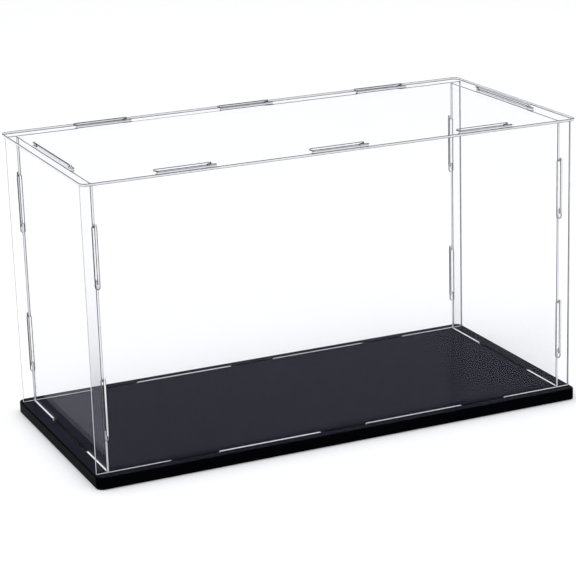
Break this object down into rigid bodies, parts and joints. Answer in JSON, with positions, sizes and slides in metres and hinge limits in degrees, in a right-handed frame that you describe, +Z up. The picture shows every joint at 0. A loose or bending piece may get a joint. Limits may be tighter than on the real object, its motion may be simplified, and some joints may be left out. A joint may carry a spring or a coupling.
{
  "type": "display case",
  "caption": "Long box-shaped display case with a clear cover of interlocking tabbed sheets that lifts off a low black glossy base.",
  "frame": {"origin": "on the surface that the case stands on, under the middle of the base", "axes": "+X along the length to the right seen from the front, +Y from front to back, +Z up"},
  "size_m": [0.404, 0.194, 0.2316],
  "materials": {
    "clear_acrylic": "polished clear acrylic sheet with laser-cut edges",
    "black_gloss": "black moulded plastic, deck polished to a mirror gloss",
    "black_foam": "matt black non-slip foam rubber"
  },
  "bodies": {
    "base": {"base_tray": "black_gloss", "pad_front_left": "black_foam", "pad_front_right": "black_foam", "pad_back_left": "black_foam", "pad_back_right": "black_foam"},
    "cover": {"front_wall": "clear_acrylic", "back_wall": "clear_acrylic", "left_wall": "clear_acrylic", "right_wall": "clear_acrylic", "lid": "clear_acrylic"}
  },
  "joints": [
    {"name": "cover_lift", "type": "slide", "parent": "base", "child": "cover", "axis": [0, 0, 1], "range_m": [0, 0.24]}
  ]
}
